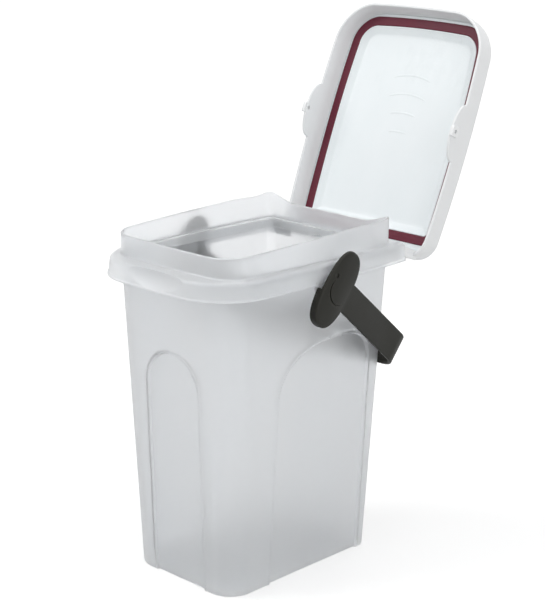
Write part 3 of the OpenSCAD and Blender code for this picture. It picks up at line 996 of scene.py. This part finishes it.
def mark_rings(span, y):
    """A low rib with round section and soft ends, along an arc that bulges towards the lid's front."""
    reach = math.asin(span / 2 / mark_radius)
    turn = np.radians(360 * np.arange(12) / 12)
    rings = []
    for share in np.linspace(-1, 1, 41):
        angle = reach * share
        fade = math.sqrt(max(1 - abs(share) ** 6, 0.003))
        out = np.array([math.sin(angle), -math.cos(angle), 0])
        middle = np.array([mark_x, y + mark_radius, pan_z]) + out * mark_radius
        ring = middle + np.outer(np.cos(turn), out) * mark_half_w * fade
        ring[:, 2] += np.sin(turn) * mark_h * fade
        rings.append(ring)
    return rings


for n, span in enumerate(mark_spans):
    combine(liner, swept("mark", mark_rings(span, mark_y + mark_step * n)), "UNION")
move_points(liner, as_seated_open)
finish_mesh(liner)

# %% Gasket
seal_slack = 0.06
seal_soft = 0.8
seal_crown = 0.12


def gasket_rings():
    low, high = gasket_low + seal_slack, gasket_high - seal_slack
    middle, half_w = (low + high) / 2, (high - low) / 2
    back_z = groove_z - 0.05
    face = [(middle + (half_w - seal_soft) * share, gasket_z + seal_crown * abs(share))
            for share in np.linspace(-1, 1, 9)[1:-1]]
    return on_plan(
        seal_plan, round_corner(low, gasket_z, seal_soft, seal_soft, MIDDLE_ROUND) + face
        + round_corner(high, gasket_z, -seal_soft, seal_soft, MIDDLE_ROUND, upright=False)
        + [(high, back_z - 0.2), (high - 0.2, back_z), (low + 0.2, back_z), (low, back_z - 0.2)])


gasket = swept("lid_seal", as_seated_open(np.array(gasket_rings())), joined=True)
finish_mesh(gasket)

# %% [markdown]
# ## The handle
#
# The bail is a flat strap bent into a U, with a broad oval head at each end that hides its pivot. The
# strap could be an extruded curve, but a swept rounded section gives its soft edges directly. A thicker
# lobe behind each head is the stop that rests against the rim. A shallow groove runs round the end of
# the strap on the outer face of each head.

# %% Handle sizes
handle_drop = 39.5
strap_head_w = 24.2
strap_bar_w = 26.0
strap_head_z = -1.6
strap_bar_z = -0.5
strap_t = 3.2
bar_t = 3.6
strap_edge = 1.1
strap_tuck = 0.3
bend_r = 20.0
arm_lean = 0.09
reach_out = 121.2
head_half_w = 15.8
head_half_l = 33.3
head_middle = (-1.1, -1.8)
head_fullness = 2.45
head_in = 86.5
head_out = 90.9
head_dome = 1.4
stop_top = -8.0
hub_r = 8.5
hub_in = 81.4
bore_end = 88.8
groove_r = 11.4
groove_middle = (-0.5, -2.8)
groove_w = 1.1
groove_turn = math.radians(235)
groove_floor = 89.6
dimple_r = 2.1
dimple_place = (-11.5, 5.9)
print("strap", strap_head_w, "to", strap_bar_w, "wide and", strap_t, "thick")

# %% Handle shapes
def strap_path():
    """Outer line of the bail with its outward direction and its thickness, from hub to hub."""
    bend_x = head_out - arm_lean * (reach_out - bend_r) - bend_r
    bend_y = reach_out - bend_r
    start = np.array([head_out - strap_tuck, 0.0])
    bend_start = np.array([bend_x + bend_r, bend_y])
    lean = math.atan2(start[0] - bend_start[0], bend_y)
    square = math.radians(90)
    half = [(mix(start, bend_start, share), lean, strap_t) for share in np.linspace(0, 1, 14)[:-1]]
    for share in np.linspace(0, 1, 17):
        angle = square * share
        outer = np.array([bend_x + bend_r * math.cos(angle), bend_y + bend_r * math.sin(angle)])
        half.append((outer, max(lean * (1 - share * 4), 0) + angle, mix(strap_t, bar_t, share)))
    half += [(np.array([bend_x * (1 - share), reach_out]), square, bar_t)
             for share in np.linspace(0, 1, 12)[1:]]
    other = [(outer * [-1, 1], math.pi - angle, t) for outer, angle, t in half[-2::-1]]
    return half + other


def strap_rings():
    """The strap's sections: it widens from the head to the bar, and starts a little below the pivot."""
    rings = []
    for outer, angle, thickness in strap_path():
        out = np.array([math.cos(angle), math.sin(angle)])
        along = outer[1] / reach_out
        half_w = mix(strap_head_w, strap_bar_w, along) / 2
        section = rounded_box((-thickness / 2, -half_w), (thickness / 2, half_w), strap_edge, 5)
        flat = outer - out * thickness / 2 + np.outer(section[:, 0], out)
        rings.append(at_height(flat, section[:, 1] + mix(strap_head_z, strap_bar_z, along)))
    return rings


def head_outline(count=112):
    """A full oval, squarer than an ellipse."""
    angles = np.radians(360 * np.arange(count) / count)
    oval = [np.sign(part) * np.abs(part) ** (2 / head_fullness)
            for part in (np.cos(angles), np.sin(angles))]
    return np.column_stack(oval) * (head_half_w, head_half_l) + head_middle


def crescent(sign):
    """A cutter for the shallow groove round the strap's end: a disc less the same disc moved aside."""
    aside = (groove_middle[0] - groove_w * math.cos(groove_turn),
             groove_middle[1] - groove_w * math.sin(groove_turn))
    disc = circle(groove_r, *groove_middle, 96)
    keep = circle(groove_r, *aside, 96)
    return combine(side_plate("groove", disc, sign, groove_floor, head_out + 2),
                   side_plate("keep", keep, sign, groove_floor - 2, head_out + 3), "DIFFERENCE")


# %% Handle mesh
def as_folded(points):
    """Places the handle, modelled level about its pivot, in its folded position."""
    return turned(points + np.array([0, pivot_y, pivot_z]), pivot_y, pivot_z, -handle_drop)


handle = swept("bail_handle", strap_rings())
head = head_outline()
stop = head[head[:, 1] < stop_top]
dimple = circle(dimple_r, *dimple_place, 32)
bore = circle(stud_r + running_gap, count=48)
for sign in (1, -1):
    fit_plates(handle, sign, (
        ("UNION", "head", head, head_in, head_out, 0.15, 2.2, head_dome),
        ("UNION", "stop", stop, hub_in, head_in + 1, 1.6, 0.05),
        ("UNION", "hub", circle(hub_r), hub_in, head_in + 1, 0.8, 0.1)))
    combine(handle, crescent(sign), "DIFFERENCE")
    fit_plates(handle, sign, (
        ("DIFFERENCE", "dimple", dimple, groove_floor, head_out + 2, 0.05),
        ("DIFFERENCE", "bore", bore, hub_in - 1, bore_end)))
move_points(handle, as_folded)
finish_mesh(handle)

# %% [markdown]
# ## Writing shader sums in Python
#
# A material here is a small program: noise gives a mask, the mask mixes two tones, a sum sets the
# roughness. Wiring that by hand hides the idea, so one small class wraps a node's socket and lets us
# write the sum as a Python expression. Every node is made by one method, which takes the node's type,
# its settings and the values or links of its sockets.

# %% Sockets as numbers
class Wire:
    """An output socket that takes part in sums, each of which adds a Math node."""

    def __init__(self, nodes, socket):
        self.nodes, self.socket = nodes, socket

    def maths(self, operation, first, second):
        return self.nodes.node("Math", {"operation": operation}, {0: first, 1: second})

    def __add__(self, other):
        return self.maths("ADD", self, other)

    def __sub__(self, other):
        return self.maths("SUBTRACT", self, other)

    def __rsub__(self, other):
        return self.maths("SUBTRACT", other, self)

    def __mul__(self, other):
        return self.maths("MULTIPLY", self, other)

    def greatest(self, other):
        return self.maths("MAXIMUM", self, other)

    __radd__ = __add__
    __rmul__ = __mul__


class Nodes:
    """The node tree of a material or of the world."""

    def __init__(self, owner):
        owner.use_nodes = True
        self.tree = owner.node_tree
        self.tree.nodes.clear()

    def node(self, kind, settings=None, inputs=None, output=0):
        made = self.tree.nodes.new("ShaderNode" + kind)
        for key, value in (settings or {}).items():
            setattr(made, key, value)
        for key, value in (inputs or {}).items():
            if isinstance(value, Wire):
                self.tree.links.new(value.socket, made.inputs[key])
            else:
                made.inputs[key].default_value = value
        return Wire(self, made.outputs[output]) if made.outputs else made

    def mixed(self, mask, first, second):
        """Colour that goes from first to second as the mask goes from 0 to 1."""
        return self.node("Mix", {"data_type": "RGBA"}, {0: mask, 6: first, 7: second}, output=2)

    def noise(self, scale, detail=3.0, roughness=0.5, stretch=(1, 1, 1)):
        """Noise through the piece's own space; scale is in features per metre."""
        place = self.node("TexCoord", output="Object")
        place = self.node("Mapping", inputs={0: place, 3: stretch})
        return self.node("TexNoise", inputs={"Vector": place, "Scale": scale, "Detail": detail,
                                             "Roughness": roughness})

    def ramp(self, value, low, high):
        """A mask that rises from 0 at low to 1 at high."""
        return self.node("MapRange", {"clamp": True}, {0: value, 1: low, 2: high, 3: 0.0, 4: 1.0})

    def edges(self, low, high):
        """A mask that is 1 along convex edges, where a moulding wears and catches light."""
        return self.ramp(self.node("NewGeometry", output="Pointiness"), low, high)


def grey(level):
    return (level, level, level, 1.0)


def paint(red, green, blue):
    """A colour written as a screen would show it, turned into the renderer's linear values."""
    values = [value / 255 for value in (red, green, blue)]
    linear = [v / 12.92 if v <= 0.04045 else ((v + 0.055) / 1.055) ** 2.4 for v in values]
    return (*linear, 1.0)


print("mid grey in linear:", round(paint(128, 128, 128)[0], 3))

# %% [markdown]
# ## Moulded plastic
#
# All the plastics share one recipe. A slow noise shifts the tone a little, as uneven cooling does. A
# fine noise is the grain of the mould. The roughness follows both, and convex edges are smoother where
# hands and shelves polish them. Those edges are also paler, partly from that wear and partly as a
# painted highlight where they catch the light. Only the numbers differ from plastic to plastic, so the
# recipe is one function, and each finish is a short call.

# %% The plastic recipe
FLOW_SCALE = 14.0
# Convex edges get a paler, smoother finish: partly wear, partly a painted highlight where they catch
# the light.
WEAR_AND_HIGHLIGHT_EDGE = (0.52, 0.6)
WEAR_AND_HIGHLIGHT_SHARE = 0.6


def moulded_plastic(name, tones, roughness, grain, grain_depth, spread=0.08, **sockets):
    """Plastic between two tones and an edge tone (partly wear, partly a painted highlight), with mould
    grain and uneven gloss.
    """
    material = bpy.data.materials.new(name)
    nodes = Nodes(material)
    tone, shade, edge_wear_and_highlight_tone = (paint(*colour) for colour in tones)
    cloud = nodes.ramp(nodes.noise(FLOW_SCALE, 4.0, 0.6, (1, 1, 0.35)), 0.35, 0.65)
    fine = nodes.noise(grain, 2.0, 0.6)
    speck = nodes.noise(grain * 0.23, 5.0, 0.7)
    wear_and_highlight = nodes.edges(*WEAR_AND_HIGHLIGHT_EDGE) * WEAR_AND_HIGHLIGHT_SHARE
    body = nodes.mixed(cloud * 0.6 + speck * 0.4, shade, tone)
    # Paler edge tone along convex edges: partly wear, partly a painted highlight.
    colour = nodes.mixed(wear_and_highlight, body, edge_wear_and_highlight_tone)
    gloss = roughness + (cloud - 0.5) * spread + (fine - 0.5) * spread - wear_and_highlight * spread
    height = fine * 0.7 + speck * 0.3
    normal = nodes.node("Bump", inputs={"Strength": 1.0, "Distance": grain_depth, "Height": height})
    shader = nodes.node("BsdfPrincipled", inputs={
        "Base Color": colour, "Roughness": gloss, "Normal": normal, **sockets})
    nodes.node("OutputMaterial", inputs={0: shader})
    return material


# %% Finishes
# The third tone of each finish is its edge tone, partly wear and partly a painted highlight.
frosted = moulded_plastic(
    "frosted_plastic", ((245, 246, 247), (238, 240, 242), (252, 253, 254)),
    roughness=0.35, grain=1500.0, grain_depth=0.00002, spread=0.05,
    **{"IOR": 1.45, "Transmission Weight": 0.88})
clear_rim = moulded_plastic(
    "rim_plastic", ((251, 252, 253), (247, 249, 251), (254, 255, 255)),
    roughness=0.31, grain=1300.0, grain_depth=0.00002, spread=0.05,
    **{"IOR": 1.4, "Transmission Weight": 0.74})
lid_white = moulded_plastic(
    "lid_white", ((237, 238, 239), (232, 234, 235), (249, 250, 250)),
    roughness=0.36, grain=1700.0, grain_depth=0.00001)
liner_white = moulded_plastic(
    "liner_white", ((238, 243, 245), (232, 239, 241), (249, 252, 252)),
    roughness=0.3, grain=1900.0, grain_depth=0.000008)
seal_rubber = moulded_plastic(
    "seal_rubber", ((107, 32, 52), (92, 32, 47), (128, 60, 76)),
    roughness=0.5, grain=2200.0, grain_depth=0.00002, spread=0.14, **{"Specular IOR Level": 0.25})
dark_plastic = moulded_plastic(
    "dark_plastic", ((31, 31, 25), (24, 24, 19), (60, 60, 53)),
    roughness=0.52, grain=1400.0, grain_depth=0.00003, spread=0.14, **{"Specular IOR Level": 0.24})
print("finishes:", len(bpy.data.materials))

# %% [markdown]
# ## Put each piece in place of its working node
#
# Each modelled piece rides on the body that its node belongs to and hides the node. The pins and the
# studs are plain turned pins whose working shape is already right, so they stay and only get a finish.

# %% Pieces and bodies
def give_finish(piece, material):
    piece.data.materials.clear()
    piece.data.materials.append(material)


for piece, body, node, slot, material in (
        (tub, "container", "tub", "frosted_plastic", frosted),
        (rim, "container", "rim_frame", "rim_plastic", clear_rim),
        (lid, "lid", "lid_shell", "white_plastic", lid_white),
        (liner, "lid", "lid_liner", "liner_plastic", liner_white),
        (gasket, "lid", "gasket", "seal_rubber", seal_rubber),
        (handle, "handle", "handle", "dark_plastic", dark_plastic)):
    give_finish(piece, material)
    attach(piece, body)
    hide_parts(node)
    print(piece.name, "rides on", body, "and stands for", node)

for node, material in (
        ("left_hinge_pin", lid_white), ("right_hinge_pin", lid_white),
        ("left_handle_pivot", dark_plastic), ("right_handle_pivot", dark_plastic)):
    give_finish(frame["nodes"][node], material)
    print(node, "stays and gets", material.name)

# %% [markdown]
# ## Camera
#
# The camera looks down a little at the front right corner from well back, which keeps the tall walls
# nearly parallel. Its place is worked out from an azimuth, an elevation and a distance, so it can be
# read and changed as numbers.

# %% Camera
azimuth, elevation, roll = 43.896, 15.792, 0.751
camera_distance = 1.40076
focal_pixels, frame_pixels, sensor = 1650.94, 600, 36.0
target = Vector((-0.013868, 0.037577, 0.214640))


def place_camera():
    a, e, r = (math.radians(v) for v in (azimuth, elevation, roll))
    back = Vector((math.sin(a) * math.cos(e), -math.cos(a) * math.cos(e), math.sin(e)))
    right = Vector((0, 0, 1)).cross(back).normalized()
    up = back.cross(right)
    tilted_right = right * math.cos(r) + up * math.sin(r)
    tilted_up = up * math.cos(r) - right * math.sin(r)
    data = bpy.data.cameras.new("camera")
    data.sensor_width = sensor
    data.lens = focal_pixels * sensor / frame_pixels
    data.clip_end = 100
    camera = bpy.data.objects.new("camera", data)
    place = Matrix((tilted_right, tilted_up, back)).transposed().to_4x4()
    place.translation = target + back * camera_distance
    camera.matrix_world = place
    bpy.context.scene.collection.objects.link(camera)
    bpy.context.scene.camera = camera
    print("camera at", [round(v, 3) for v in place.translation], "lens", round(data.lens, 2))


place_camera()

# %% [markdown]
# ## Studio
#
# Frosted plastic shows whatever is around it, so the studio is a soft even box: a pale world, a large
# lamp from the upper left, a weaker one from the right and one above. The backdrop is white only for
# the camera and for rays seen through or in the plastic; the light itself stays at a plain level. The
# floor is lifted to white for those same rays, more so far away where the lamps no longer reach, so
# that the soft shadow at the foot is all that is left of it.

# %% World and floor
studio_level = 0.45
floor_size = 14.0
lamp_reach = (0.4, 2.6)
lift_near = 0.41
lift_far = 0.72


def white_for_viewing(nodes):
    """A mask of rays that look at the backdrop rather than light the object."""
    path = [nodes.node("LightPath", output=name)
            for name in ("Is Camera Ray", "Is Glossy Ray", "Is Transmission Ray")]
    return path[0].greatest(path[1]).greatest(path[2])


world = bpy.data.worlds.new("studio")
bpy.context.scene.world = world
nodes = Nodes(world)
level = studio_level + white_for_viewing(nodes) * (1 - studio_level)
shader = nodes.node("Background", inputs={0: grey(1.0), 1: level})
nodes.node("OutputWorld", inputs={0: shader})

floor_material = bpy.data.materials.new("floor")
nodes = Nodes(floor_material)
place = nodes.node("TexCoord", output="Object")
distance = nodes.node("VectorMath", {"operation": "LENGTH"}, {0: place}, output="Value")
lift = nodes.mixed(nodes.ramp(distance, *lamp_reach), grey(lift_near), grey(lift_far))
shader = nodes.node("BsdfPrincipled", inputs={
    "Base Color": nodes.mixed(nodes.noise(3.0), paint(220, 220, 220), paint(224, 224, 224)),
    "Roughness": 0.8, "Specular IOR Level": 0.1, "Emission Strength": 1.0,
    "Emission Color": nodes.mixed(white_for_viewing(nodes), grey(0.0), lift)})
nodes.node("OutputMaterial", inputs={0: shader})

reach = floor_size / 2 / MM
corners = [(-reach, -reach, 0), (reach, -reach, 0), (reach, reach, 0), (-reach, reach, 0)]
floor = make_piece("floor", corners, [(0, 1, 2, 3)])
floor.data.materials.append(floor_material)
print("floor is", floor_size, "m wide")

# %% Lamps
for name, place, size, power in (
        ("key_lamp", (-1.3, -1.5, 2.1), 1.4, 27.0),
        ("fill_lamp", (2.2, -0.6, 1.1), 1.6, 17.0),
        ("top_lamp", (0.1, 0.4, 2.4), 1.8, 18.0)):
    data = bpy.data.lights.new(name, "AREA")
    data.energy, data.size = power, size
    lamp = bpy.data.objects.new(name, data)
    lamp.location = place
    lamp.rotation_euler = (Vector(place) - Vector((0, 0, 0.2))).to_track_quat("Z", "Y").to_euler()
    bpy.context.scene.collection.objects.link(lamp)

bpy.context.scene.view_settings.view_transform = "Standard"
print("lamps:", [light.name for light in bpy.data.lights])
